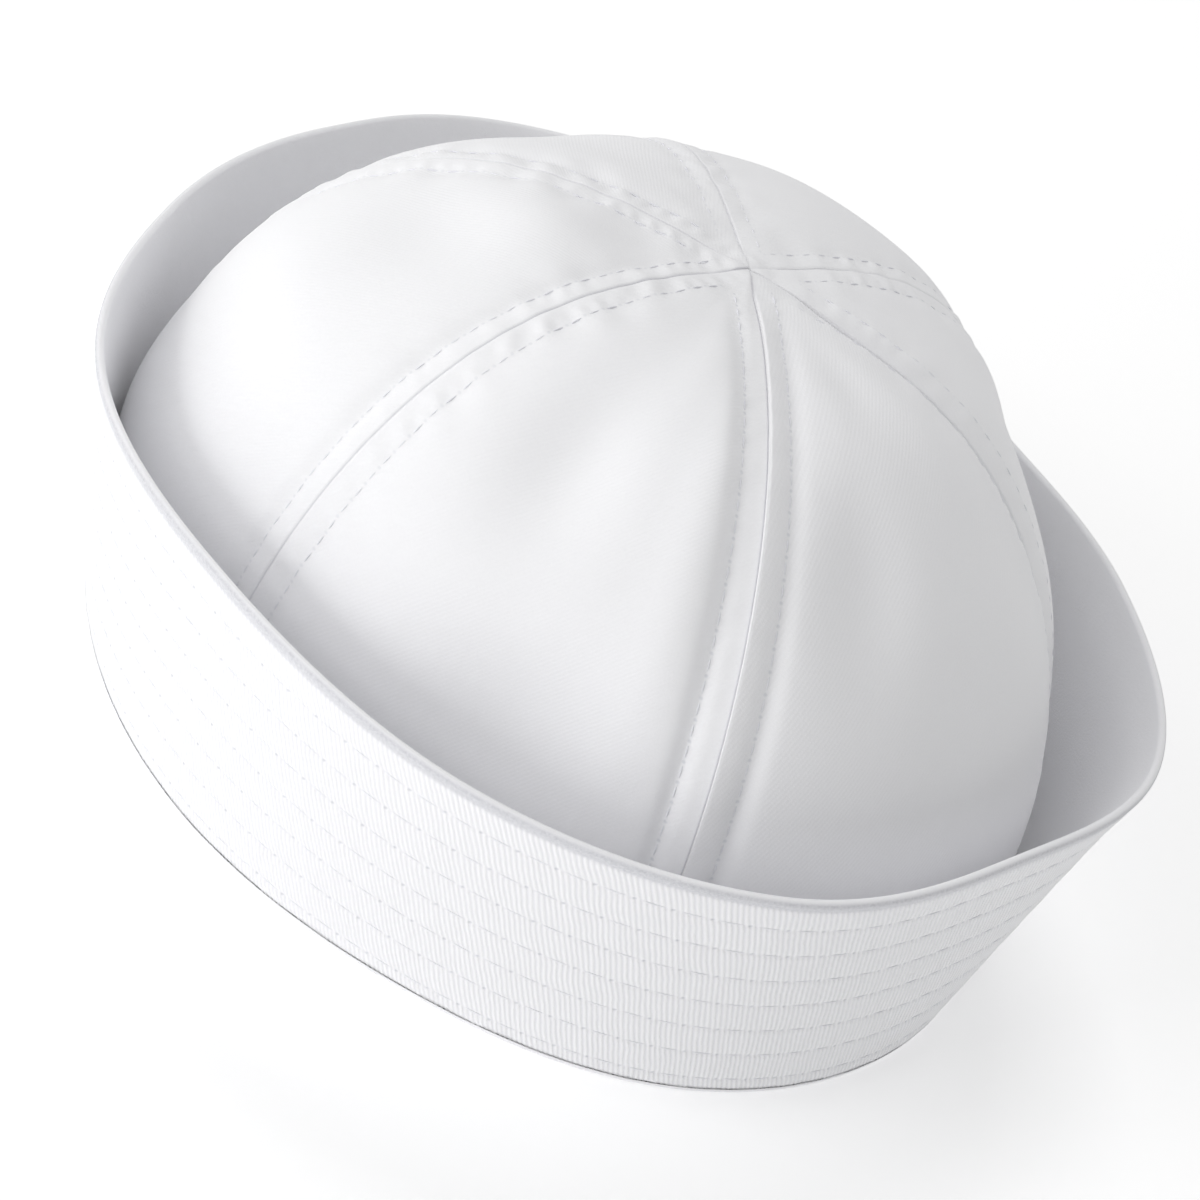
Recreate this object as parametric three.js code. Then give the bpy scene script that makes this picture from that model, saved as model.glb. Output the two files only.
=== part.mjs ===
import * as THREE from 'three';

// A round sailor cap of white cotton: six gores of cloth make a domed crown, and a deep brim is
// turned up all round it. Millimetres, +Z up. The cap stands on z = 0 on the fold at its foot,
// with its longer axis along Y, and the origin is under the middle of its outline.

// Driving dimensions.
const footHalfWidth = 91.6;
const footHalfLength = 99.6;
const crownHeight = 115.0;
const crownLean = new THREE.Vector3(-7.4, -1.1, 0);
const domeFlatness = 2.05;
const domeShoulder = 3.14;
const clothThickness = 1.6;
const crownInset = 3.2;
const gorePuff = 2.2;
const heldWidth = 0.12;
const brimWidth = 62.9;
const brimThickness = 1.8;
const footFoldHeight = 2.0;
const footRounding = 1.7;
const tuckHeight = 8.5;
const tuckThickness = 1.2;
const pieceGap = 0.3;
const seatClearance = 0.5;
const apexRadius = 1.0;

// How finely the cloth is divided.
const brimColumns = 72;
const brimRows = 8;
const rimFacets = 5;
const footFacets = 4;
const goreColumns = 9;
const goreRows = 15;

// How the cap lies round the head, every 30 degrees from +X towards +Y: how far its foot lies
// outside the plain oval, how far the rim leans out past the foot, and how far the crown swells.
const headRound = [
  { angle: 0, foot: 1.0, flare: 0.5, swell: 1.5 },
  { angle: 30, foot: 2.5, flare: 18.5, swell: -1.0 },
  { angle: 60, foot: 3.5, flare: 31.5, swell: -5.0 },
  { angle: 90, foot: 1.0, flare: 16.5, swell: -8.0 },
  { angle: 120, foot: 3.5, flare: 9.5, swell: 5.0 },
  { angle: 150, foot: 2.0, flare: 15.5, swell: 7.5 },
  { angle: 180, foot: 1.0, flare: 12.0, swell: 3.5 },
  { angle: 210, foot: -2.0, flare: 16.5, swell: 3.5 },
  { angle: 240, foot: -1.0, flare: 13.0, swell: 5.0 },
  { angle: 270, foot: -2.0, flare: 6.0, swell: 2.0 },
  { angle: 300, foot: -4.0, flare: 12.5, swell: 2.0 },
  { angle: 330, foot: -5.5, flare: 9.5, swell: -2.5 },
];

// The gores in order round the cap, each between the seams at two angles in degrees.
const gores = [
  { name: 'crown_gore_1', from: 176.3, to: 233.5 },
  { name: 'crown_gore_2', from: 120.4, to: 176.3 },
  { name: 'crown_gore_3', from: 60.8, to: 120.4 },
  { name: 'crown_gore_4', from: -8.4, to: 60.8 },
  { name: 'crown_gore_5', from: 301.3, to: 351.6 },
  { name: 'crown_gore_6', from: 233.5, to: 301.3 },
];

// The main soft dents and ridges. up is the share of the way from foot to apex, across the share
// of the gore from its first seam, tall and wide their half-sizes in those shares, and depth is
// in millimetres inwards, so a ridge is negative.
const dents = [
  { gore: 'crown_gore_1', up: 0.60, across: 0.44, tall: 0.11, wide: 0.17, depth: 4.4 },
  { gore: 'crown_gore_1', up: 0.35, across: 0.60, tall: 0.10, wide: 0.20, depth: 3.4 },
  { gore: 'crown_gore_1', up: 0.58, across: 0.84, tall: 0.20, wide: 0.10, depth: -2.2 },
  { gore: 'crown_gore_1', up: 0.78, across: 0.70, tall: 0.08, wide: 0.13, depth: -1.0 },
  { gore: 'crown_gore_2', up: 0.83, across: 0.52, tall: 0.08, wide: 0.24, depth: -2.0 },
  { gore: 'crown_gore_2', up: 0.66, across: 0.42, tall: 0.07, wide: 0.26, depth: 2.8 },
  { gore: 'crown_gore_2', up: 0.50, across: 0.57, tall: 0.07, wide: 0.22, depth: -2.2 },
  { gore: 'crown_gore_2', up: 0.34, across: 0.36, tall: 0.09, wide: 0.26, depth: 2.2 },
  { gore: 'crown_gore_3', up: 0.70, across: 0.45, tall: 0.14, wide: 0.30, depth: 2.2 },
  { gore: 'crown_gore_5', up: 0.55, across: 0.50, tall: 0.14, wide: 0.26, depth: 1.6 },
  { gore: 'crown_gore_6', up: 0.81, across: 0.44, tall: 0.06, wide: 0.14, depth: 1.0 },
  { gore: 'crown_gore_6', up: 0.58, across: 0.29, tall: 0.10, wide: 0.13, depth: 3.0 },
  { gore: 'crown_gore_6', up: 0.47, across: 0.53, tall: 0.13, wide: 0.17, depth: 2.6 },
  { gore: 'crown_gore_6', up: 0.72, across: 0.70, tall: 0.07, wide: 0.12, depth: -0.8 },
];

const cottonWhite = { color: 0xf2f2f6, roughness: 0.92, metalness: 0.0 };

// One column of the table at any angle in radians, by a smooth curve through its rows.
function roundHead(column, angle) {
  const rows = headRound.length;
  const place = THREE.MathUtils.euclideanModulo(angle / (2 * Math.PI), 1) * rows;
  const row = Math.floor(place) % rows;
  const f = place - Math.floor(place);
  const value = (step) => headRound[(row + step + rows) % rows][column];
  const slopeHere = (value(1) - value(-1)) / 2;
  const slopeNext = (value(2) - value(0)) / 2;
  const hermite = value(0) * (2 * f ** 3 - 3 * f ** 2 + 1) + value(1) * (3 * f ** 2 - 2 * f ** 3);
  return hermite + slopeHere * (f ** 3 - 2 * f ** 2 + f) + slopeNext * (f ** 3 - f ** 2);
}

// The direction straight out from the oval foot at an angle.
function outwards(angle) {
  const gradient = new THREE.Vector3(Math.cos(angle) / footHalfWidth, Math.sin(angle) / footHalfLength, 0);
  return gradient.normalize();
}

// The outer edge of the foot on the floor.
function footPoint(angle) {
  const oval = new THREE.Vector3(footHalfWidth * Math.cos(angle), footHalfLength * Math.sin(angle), 0);
  return oval.addScaledVector(outwards(angle), roundHead('foot', angle));
}

// The smooth crown before it is dented: a superellipse from the foot to the apex, leaning a
// little, and swollen at mid-height. rise is the height as a share of the crown's.
function crownPoint(angle, rise) {
  const reach = Math.max(1 - rise ** domeFlatness, 0) ** (1 / domeShoulder);
  const point = footPoint(angle).addScaledVector(outwards(angle), -crownInset).multiplyScalar(reach);
  point.addScaledVector(outwards(angle), roundHead('swell', angle) * Math.sin(Math.PI * rise));
  point.addScaledVector(crownLean, rise ** 2);
  return point.setZ(crownHeight * rise);
}

// Heights up the crown at equal steps of cloth from its lower edge to the apex.
function equalRises(rows) {
  const meanRadius = (footHalfWidth + footHalfLength) / 2;
  const lowest = (footFoldHeight + seatClearance) / crownHeight;
  const highest = (1 - (apexRadius / meanRadius) ** domeShoulder) ** (1 / domeFlatness);
  const samples = 2000;
  const turn = (rise) => Math.asin(rise ** (domeFlatness / 2));
  const fine = [];
  let run = 0;
  for (let i = 0; i <= samples; i += 1) {
    const phase = THREE.MathUtils.lerp(turn(lowest), turn(highest), i / samples);
    const rise = Math.sin(phase) ** (2 / domeFlatness);
    const reach = Math.cos(phase) ** (2 / domeShoulder);
    const last = fine[i - 1];
    run += last ? Math.hypot((rise - last.rise) * crownHeight, (reach - last.reach) * meanRadius) : 0;
    fine.push({ rise, reach, run });
  }
  const rises = [];
  for (let row = 0; row <= rows; row += 1) {
    rises.push(fine.find((entry) => entry.run >= (run * row) / rows - 1e-9).rise);
  }
  return rises;
}

// The smooth crown's outward normal.
function crownNormal(angle, rise) {
  const step = 0.002;
  const lower = Math.max(rise - step, 0);
  const higher = Math.min(rise + step * (1 - rise), 1);
  const along = crownPoint(angle, higher).sub(crownPoint(angle, lower));
  const round = crownPoint(angle + step, rise).sub(crownPoint(angle - step, rise));
  return round.cross(along).normalize();
}

// How far a gore stands out from the smooth crown: puffed between its seams, then dented. The
// seams hold its edges, so the dents fade out there.
function goreRelief(goreName, share, across) {
  const heldEdge = THREE.MathUtils.smoothstep(Math.min(across, 1 - across), 0, heldWidth);
  let relief = gorePuff * Math.sin(Math.PI * across) * Math.sin(Math.PI * share);
  for (const dent of dents.filter((row) => row.gore === goreName)) {
    const along = (share - dent.up) / dent.tall;
    const aside = (across - dent.across) / dent.wide;
    relief -= dent.depth * Math.exp(-(along ** 2) - aside ** 2) * heldEdge;
  }
  return relief;
}

// A closed solid between two grids of points of the same size, joined round their edges.
function solidFromGrids(outer, inner) {
  const rows = outer.length;
  const columns = outer[0].length;
  const positions = [...outer.flat(), ...inner.flat()].flatMap((point) => point.toArray());
  const indices = [];
  const top = rows - 1;
  const side = columns - 1;
  const out = (row, column) => row * columns + column;
  const back = (row, column) => rows * columns + out(row, column);
  const face = (a, b, c, d) => indices.push(a, b, c, a, c, d);
  for (let row = 0; row < top; row += 1) {
    for (let column = 0; column < side; column += 1) {
      face(out(row, column), out(row, column + 1), out(row + 1, column + 1), out(row + 1, column));
      face(back(row, column), back(row + 1, column), back(row + 1, column + 1), back(row, column + 1));
    }
  }
  for (let column = 0; column < side; column += 1) {
    face(back(0, column), back(0, column + 1), out(0, column + 1), out(0, column));
    face(out(top, column), out(top, column + 1), back(top, column + 1), back(top, column));
  }
  for (let row = 0; row < top; row += 1) {
    face(out(row, 0), out(row + 1, 0), back(row + 1, 0), back(row, 0));
    face(out(row + 1, side), out(row, side), back(row, side), back(row + 1, side));
  }
  const geometry = new THREE.BufferGeometry();
  geometry.setAttribute('position', new THREE.Float32BufferAttribute(positions, 3));
  geometry.setIndex(indices);
  geometry.computeVertexNormals();
  return geometry;
}

// One gore: a curved shell of cloth that stops half a gap short of its two seams, with its lower
// edge cut level.
function goreGeometry(gore) {
  const outer = [];
  const inner = [];
  for (const [row, rise] of equalRises(goreRows).entries()) {
    const outerRow = [];
    const innerRow = [];
    for (let column = 0; column <= goreColumns; column += 1) {
      const across = column / goreColumns;
      const seam = THREE.MathUtils.degToRad(across < 0.5 ? gore.from : gore.to);
      const axis = new THREE.Vector3().addScaledVector(crownLean, rise ** 2).setZ(crownHeight * rise);
      const margin = pieceGap / 2 / crownPoint(seam, rise).distanceTo(axis);
      const from = THREE.MathUtils.degToRad(gore.from) + margin;
      const to = THREE.MathUtils.degToRad(gore.to) - margin;
      const angle = THREE.MathUtils.lerp(from, to, across);
      const normal = crownNormal(angle, rise);
      const relief = goreRelief(gore.name, row / goreRows, across);
      const point = crownPoint(angle, rise).addScaledVector(normal, relief);
      outerRow.push(point);
      const inwards = row > 0 ? normal : outwards(angle);
      innerRow.push(point.clone().addScaledVector(inwards, -clothThickness));
    }
    outer.push(outerRow);
    inner.push(innerRow);
  }
  return solidFromGrids(outer, inner);
}

// The brim's section at one angle, as points (distance out from the foot's edge, height): up the
// outer face, over the rim, down the inner face to the seat of the crown, over the short tuck
// inside the crown, and back under the foot.
function brimSection(angle) {
  const flare = roundHead('flare', angle);
  const rimHeight = Math.sqrt(brimWidth ** 2 - flare ** 2);
  const slope = new THREE.Vector2(flare, rimHeight).divideScalar(brimWidth);
  const face = new THREE.Vector2(slope.y, -slope.x);
  const strip = (width, depth) => slope.clone().multiplyScalar(width).addScaledVector(face, -depth);
  const tuckFace = (height) => {
    const rise = height / crownHeight;
    const crown = crownPoint(angle, rise).sub(footPoint(angle)).dot(outwards(angle));
    return crown - clothThickness / crownNormal(angle, rise).dot(outwards(angle)) - seatClearance;
  };
  const seatTuck = tuckFace(footFoldHeight);
  const footEnd = seatTuck - tuckThickness;
  const rimRadius = brimThickness / 2;
  const outerTurn = new THREE.QuadraticBezierCurve(
    new THREE.Vector2(-footRounding, 0),
    new THREE.Vector2(0, 0),
    strip(footRounding, 0),
  );
  const innerTurn = new THREE.QuadraticBezierCurve(
    new THREE.Vector2(footEnd, footRounding),
    new THREE.Vector2(footEnd, 0),
    new THREE.Vector2(footEnd + footRounding, 0),
  );
  const section = outerTurn.getPoints(footFacets);
  for (let row = 1; row <= brimRows; row += 1) {
    section.push(strip(THREE.MathUtils.lerp(footRounding, brimWidth - rimRadius, row / brimRows), 0));
  }
  for (let facet = 1; facet < rimFacets; facet += 1) {
    const turn = (Math.PI * facet) / rimFacets;
    const rounding = rimRadius * (1 - Math.sin(turn));
    section.push(strip(brimWidth - rounding, rimRadius * (1 - Math.cos(turn))));
  }
  const seatWidth = (footFoldHeight * brimWidth - brimThickness * flare) / rimHeight;
  for (let row = brimRows; row >= 0; row -= 1) {
    const width = THREE.MathUtils.lerp(seatWidth, brimWidth - rimRadius, row / brimRows);
    section.push(strip(width, brimThickness));
  }
  section.push(new THREE.Vector2(seatTuck, footFoldHeight));
  const tuckShoulder = tuckHeight - tuckThickness / 2;
  section.push(new THREE.Vector2(tuckFace(tuckShoulder), tuckShoulder));
  section.push(new THREE.Vector2(tuckFace(tuckShoulder) - tuckThickness / 2, tuckHeight));
  section.push(new THREE.Vector2(tuckFace(tuckShoulder) - tuckThickness, tuckShoulder));
  section.push(...innerTurn.getPoints(footFacets));
  return section;
}

// The brim: its section carried round the foot, each point joined to the next angle's.
function brimGeometry() {
  const positions = [];
  const indices = [];
  let count = 0;
  for (let column = 0; column < brimColumns; column += 1) {
    const angle = (2 * Math.PI * column) / brimColumns;
    const section = brimSection(angle);
    count = section.length;
    for (const point of section) {
      const place = footPoint(angle).addScaledVector(outwards(angle), point.x);
      positions.push(...place.setZ(point.y).toArray());
    }
  }
  for (let column = 0; column < brimColumns; column += 1) {
    const next = (column + 1) % brimColumns;
    for (let i = 0; i < count; i += 1) {
      const j = (i + 1) % count;
      indices.push(column * count + i, next * count + i, next * count + j);
      indices.push(column * count + i, next * count + j, column * count + j);
    }
  }
  const geometry = new THREE.BufferGeometry();
  geometry.setAttribute('position', new THREE.Float32BufferAttribute(positions, 3));
  geometry.setIndex(indices);
  geometry.computeVertexNormals();
  return geometry;
}

function clothMesh(name, geometry) {
  const mesh = new THREE.Mesh(geometry, new THREE.MeshStandardMaterial(cottonWhite));
  mesh.name = name;
  return mesh;
}

const cap = new THREE.Group();
for (const gore of gores) {
  cap.add(clothMesh(gore.name, goreGeometry(gore)));
}
cap.add(clothMesh('brim', brimGeometry()));

// Stand the cap over the origin.
const outline = new THREE.Box3().setFromObject(cap);
const middle = outline.getCenter(new THREE.Vector3());
cap.position.set(-middle.x, -middle.y, 0);

export default cap;
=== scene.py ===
import math
import bpy
import numpy as np
from mathutils import Matrix, Vector


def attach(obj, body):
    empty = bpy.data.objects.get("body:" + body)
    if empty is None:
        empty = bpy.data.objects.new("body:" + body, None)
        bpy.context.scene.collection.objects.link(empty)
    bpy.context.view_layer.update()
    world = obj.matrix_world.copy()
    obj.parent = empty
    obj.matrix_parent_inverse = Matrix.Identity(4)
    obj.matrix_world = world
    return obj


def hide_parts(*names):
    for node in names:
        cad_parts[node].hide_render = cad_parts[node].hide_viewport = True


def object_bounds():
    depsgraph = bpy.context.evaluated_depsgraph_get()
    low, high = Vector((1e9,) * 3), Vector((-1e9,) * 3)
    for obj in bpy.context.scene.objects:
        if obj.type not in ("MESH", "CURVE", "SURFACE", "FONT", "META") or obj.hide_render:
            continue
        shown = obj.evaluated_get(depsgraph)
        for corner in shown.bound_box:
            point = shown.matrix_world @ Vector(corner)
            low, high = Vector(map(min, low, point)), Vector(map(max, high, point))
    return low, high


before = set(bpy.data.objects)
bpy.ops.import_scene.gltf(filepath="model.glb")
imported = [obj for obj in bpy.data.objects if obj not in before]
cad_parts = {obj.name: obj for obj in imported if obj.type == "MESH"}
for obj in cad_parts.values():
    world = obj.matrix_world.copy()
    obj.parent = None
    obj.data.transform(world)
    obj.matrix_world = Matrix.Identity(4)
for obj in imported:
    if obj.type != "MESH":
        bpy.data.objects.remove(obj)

cadBox = [list(corner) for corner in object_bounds()]
mm = 0.001

# camera
# azimuth 0 looks along +Y; the roll makes the cap lean to the right; distances are in metres
cameraView = {
    "azimuth": -53.9,
    "elevation": 35.2,
    "roll": 25.3,
    "distance": 0.663,
    "lens": 104.2,
    "farthest": 20.0,
    "aimBelowMiddle": (-0.0062, -0.0130, -0.0208),
}


def placeCamera(view):
    azimuth = math.radians(view["azimuth"])
    elevation = math.radians(view["elevation"])
    roll = math.radians(view["roll"])
    back = Vector((math.sin(azimuth) * math.cos(elevation),
                   -math.cos(azimuth) * math.cos(elevation), math.sin(elevation)))
    right = Vector((math.cos(azimuth), math.sin(azimuth), 0))
    above = back.cross(right)
    rolledRight = right * math.cos(roll) + above * math.sin(roll)
    rolledAbove = above * math.cos(roll) - right * math.sin(roll)
    low, high = (Vector(corner) for corner in cadBox)
    aim = (low + high) / 2 + Vector(view["aimBelowMiddle"])
    camera = bpy.data.objects.new("camera", bpy.data.cameras.new("camera"))
    camera.data.lens = view["lens"]
    camera.data.clip_end = view["farthest"]
    turn = Matrix((rolledRight, rolledAbove, back)).transposed().to_4x4()
    camera.matrix_world = Matrix.Translation(aim + back * view["distance"]) @ turn
    bpy.context.scene.collection.objects.link(camera)
    bpy.context.scene.camera = camera


placeCamera(cameraView)
print("camera placed")

# the cap's own form
# lengths in millimetres until they go into a mesh; the same form as the CAD solids have
capForm = {
    "footHalfWidth": 91.6,
    "footHalfLength": 99.6,
    "crownHeight": 115.0,
    "crownLean": (-7.4, -1.1),
    "domeFlatness": 2.05,
    "domeShoulder": 3.14,
    "crownInset": 3.2,
    "lowestEdge": 2.5,
    "clothThickness": 1.6,
}

# every 30 degrees from +X towards +Y: the foot outside a plain oval, the rim's lean, the swell
headRound = [
    {"foot": 1.0, "flare": 0.5, "swell": 1.5},
    {"foot": 2.5, "flare": 18.5, "swell": -1.0},
    {"foot": 3.5, "flare": 31.5, "swell": -5.0},
    {"foot": 1.0, "flare": 16.5, "swell": -8.0},
    {"foot": 3.5, "flare": 9.5, "swell": 5.0},
    {"foot": 2.0, "flare": 15.5, "swell": 7.5},
    {"foot": 1.0, "flare": 12.0, "swell": 3.5},
    {"foot": -2.0, "flare": 16.5, "swell": 3.5},
    {"foot": -1.0, "flare": 13.0, "swell": 5.0},
    {"foot": -2.0, "flare": 6.0, "swell": 2.0},
    {"foot": -4.0, "flare": 12.5, "swell": 2.0},
    {"foot": -5.5, "flare": 9.5, "swell": -2.5},
]


def roundHead(column, angle):
    # a smooth closed curve through the table's rows: cubic Hermite, each slope from both neighbours
    values = np.array([row[column] for row in headRound])
    place = np.mod(angle / (2 * np.pi), 1) * len(values)
    row = np.floor(place).astype(int)
    f = place - row
    before, here, after, later = (values[(row + step) % len(values)] for step in (-1, 0, 1, 2))
    return (here * (2 * f**3 - 3 * f**2 + 1) + after * (3 * f**2 - 2 * f**3)
            + (after - before) / 2 * (f**3 - 2 * f**2 + f) + (later - here) / 2 * (f**3 - f**2))


def outwards(angle):
    # unit vector straight out from the oval foot: the oval's gradient, made one long
    x = np.cos(angle) / capForm["footHalfWidth"]
    y = np.sin(angle) / capForm["footHalfLength"]
    size = np.hypot(x, y)
    return np.stack([x / size, y / size, np.zeros_like(x)], -1)


def footPoint(angle):
    # the oval, moved straight out by the table's foot column
    oval = np.stack([capForm["footHalfWidth"] * np.cos(angle),
                     capForm["footHalfLength"] * np.sin(angle), np.zeros_like(angle)], -1)
    return oval + outwards(angle) * roundHead("foot", angle)[..., None]


def crownPoint(angle, rise):
    # a superellipse dome over the foot, leaning with the square of the height, swollen by a sine
    reach = np.maximum(1 - rise ** capForm["domeFlatness"], 0) ** (1 / capForm["domeShoulder"])
    out = outwards(angle)
    point = (footPoint(angle) - out * capForm["crownInset"]) * reach[..., None]
    point = point + out * (roundHead("swell", angle) * np.sin(np.pi * rise))[..., None]
    lean = np.array([*capForm["crownLean"], 0.0])
    point = point + lean * (rise**2)[..., None]
    point[..., 2] = capForm["crownHeight"] * rise
    return point


def crownNormal(angle, rise):
    # cross product of the smooth dome's two slopes, each taken over a small step
    step = 0.002
    higher = np.minimum(rise + step * (1 - rise), 1)
    lower = np.maximum(rise - step, 0)
    along = crownPoint(angle, higher) - crownPoint(angle, lower)
    around = crownPoint(angle + step, rise) - crownPoint(angle - step, rise)
    normal = np.cross(around, along)
    return normal / np.linalg.norm(normal, axis=-1)[..., None]


def riseAt(share):
    # height share at a share of the cloth's length from the lower edge to the apex
    flat, shoulder = capForm["domeFlatness"], capForm["domeShoulder"]
    radius = (capForm["footHalfWidth"] + capForm["footHalfLength"]) / 2
    lowest = np.arcsin((capForm["lowestEdge"] / capForm["crownHeight"]) ** (flat / 2))
    samples = 4000
    phase = np.linspace(lowest, np.pi / 2, samples)
    rise, reach = np.sin(phase) ** (2 / flat), np.cos(phase) ** (2 / shoulder)
    steps = np.hypot(np.diff(rise) * capForm["crownHeight"], np.diff(reach) * radius)
    run = np.concatenate([[0], np.cumsum(steps)])
    return np.interp(share, run / run[-1], rise), run[-1]


def middleOfOutline():
    # middle of the rim's and the foot's outline, which the frame has over its origin
    angle = np.radians(np.arange(0, 360, 5.0))
    rim = footPoint(angle) + outwards(angle) * roundHead("flare", angle)[..., None]
    both = np.concatenate([rim, footPoint(angle)])
    middle = (both.min(0) + both.max(0)) / 2
    return np.array([middle[0], middle[1], 0.0])


outlineMiddle = middleOfOutline()


def softNoise(points, wavelength, seed, waves=9):
    # sum of sine waves in random directions, about -1 to 1, the same on every run
    draw = np.random.default_rng(seed)
    total = np.zeros(points.shape[:-1])
    for _ in range(waves):
        direction = draw.normal(size=points.shape[-1])
        direction /= np.linalg.norm(direction)
        length = wavelength * draw.uniform(0.75, 1.5)
        total += np.sin(points @ direction * 2 * np.pi / length + draw.uniform(0, 2 * np.pi))
    return total / math.sqrt(waves)


def smoothStep(low, high, value):
    share = np.clip((value - low) / (high - low), 0, 1)
    return share * share * (3 - 2 * share)


def bell(value, width):
    return np.exp(-(value / width) ** 2)


# meshes
def gridFaces(rows, columns, closedAround):
    # four corners of each cell of a grid; a closed grid joins its last column to the first
    row = np.arange(rows - 1)[:, None]
    column = np.arange(columns if closedAround else columns - 1)[None, :]
    following = (column + 1) % columns
    corners = [row * columns + column, row * columns + following,
               (row + 1) * columns + following, (row + 1) * columns + column]
    cells = (rows - 1, column.size)
    return np.stack([np.broadcast_to(corner, cells) for corner in corners], -1).reshape(-1, 4)


def meshPiece(name, points, faces, layers=None):
    # points in millimetres before they are set over the frame's origin; layers hold corners' uvs
    mesh = bpy.data.meshes.new(name)
    placed = (points.reshape(-1, 3) - outlineMiddle) * mm
    mesh.vertices.add(len(placed))
    mesh.vertices.foreach_set("co", placed.astype(np.float32).ravel())
    sides = faces.shape[1]
    mesh.loops.add(faces.size)
    mesh.loops.foreach_set("vertex_index", faces.astype(np.int32).ravel())
    mesh.polygons.add(len(faces))
    mesh.polygons.foreach_set("loop_start", np.arange(0, faces.size, sides, dtype=np.int32))
    mesh.polygons.foreach_set("loop_total", np.full(len(faces), sides, dtype=np.int32))
    mesh.polygons.foreach_set("use_smooth", np.full(len(faces), True))
    mesh.update(calc_edges=True)
    mesh.validate()
    for title, corners in (layers or {}).items():
        layer = mesh.uv_layers.new(name=title)
        layer.data.foreach_set("uv", corners.astype(np.float32).ravel())
    piece = bpy.data.objects.new(name, mesh)
    bpy.context.scene.collection.objects.link(piece)
    return piece


def addMeasure(piece, title, values):
    # one number at every point of a mesh, for its material to read
    attribute = piece.data.attributes.new(title, "FLOAT", "POINT")
    attribute.data.foreach_set("value", values.astype(np.float32))


# materials
def linearColor(hexCode):
    channels = [int(hexCode[i:i + 2], 16) / 255 for i in (1, 3, 5)]
    return [c / 12.92 if c <= 0.04045 else ((c + 0.055) / 1.055) ** 2.4 for c in channels] + [1.0]


def addNode(tree, kind, settings=None, inputs=None):
    # an input takes a socket to link, a number, or a hex code for a colour
    node = tree.nodes.new(kind)
    for key, value in (settings or {}).items():
        setattr(node, key, value)
    for key, value in (inputs or {}).items():
        if isinstance(value, bpy.types.NodeSocket):
            tree.links.new(value, node.inputs[key])
        else:
            node.inputs[key].default_value = linearColor(value) if isinstance(value, str) else value
    return node


# a colour mix has its factor in input 0, its colours in inputs 6 and 7, and its result in output 2
colorMix = {"data_type": "RGBA"}


def newMaterial(name):
    material = bpy.data.materials.new(name)
    material.use_nodes = True
    shader = material.node_tree.nodes["Principled BSDF"]
    return material, material.node_tree, shader


# Thin bleached cotton has a faint nap and lets a little light through, so its hollows are never
# quite dark. Its threads are uneven, which both weaves show as a fine grain.
cottonLook = {
    "sheen": 0.2,
    "sheenRoughness": 0.5,
    "lightShare": 0.3,
    "lightReach": 1.2,
    "grain": {"Scale": 1.9, "Detail": 4.0, "Roughness": 0.7},
}


def finishCotton(shader, roughness):
    shader.inputs["Roughness"].default_value = roughness
    shader.inputs["Sheen Weight"].default_value = cottonLook["sheen"]
    shader.inputs["Sheen Roughness"].default_value = cottonLook["sheenRoughness"]
    shader.inputs["Subsurface Weight"].default_value = cottonLook["lightShare"]
    shader.inputs["Subsurface Radius"].default_value = (1, 1, 1)
    shader.inputs["Subsurface Scale"].default_value = cottonLook["lightReach"] * mm


# a needle hole is deepest within its core and ends at its edge, in mm from its middle
needle = {"core": 0.1, "edge": 0.5}


def needleHoles(tree, fromRow, alongRow, pitch):
    # 1 in a needle hole, 0 elsewhere; a hole lies on the stitch row at every whole pitch
    along = addNode(tree, "ShaderNodeMath", {"operation": "PINGPONG"}, {0: alongRow, 1: pitch / 2})
    place = addNode(tree, "ShaderNodeCombineXYZ", None, {"X": fromRow, "Y": along.outputs[0]})
    distance = addNode(tree, "ShaderNodeVectorMath", {"operation": "LENGTH"}, {0: place.outputs[0]})
    return addNode(tree, "ShaderNodeMapRange", {"interpolation_type": "SMOOTHSTEP"},
                   {"Value": distance.outputs["Value"],
                    "From Min": needle["core"], "From Max": needle["edge"],
                    "To Min": 1.0, "To Max": 0.0}).outputs["Result"]


# Bleached cotton twill: the eye sees a matt white with a faint cool cast, and close to, fine
# diagonal ridges. Real twill has a ridge every 0.5 mm; it is drawn at 0.7 mm so that it shows.
# The needle holes of the top stitching show as grey pin pricks, and each seam's crack as a thin
# grey line, both of painted shade.
twillLook = {
    "light": "#fbfbfd",
    "shade": "#f4f4f7",
    # the next two colours are painted shade: grey in the needle holes and along each seam's crack
    "holeShade": "#e6e7eb",
    "crackShade": "#dcdce1",
    "crackWidth": (0.02, 0.07),
    "mapScale": 5.0,
    "ridge": 0.7,
    "lay": 38.0,
    "ridgeWander": 0.8,
    "ridgeHeight": 0.45,
    "holeDepth": 0.5,
    "ridgeDepth": 0.08,
    "relief": 0.45,
    "roughness": 0.88,
}


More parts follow.
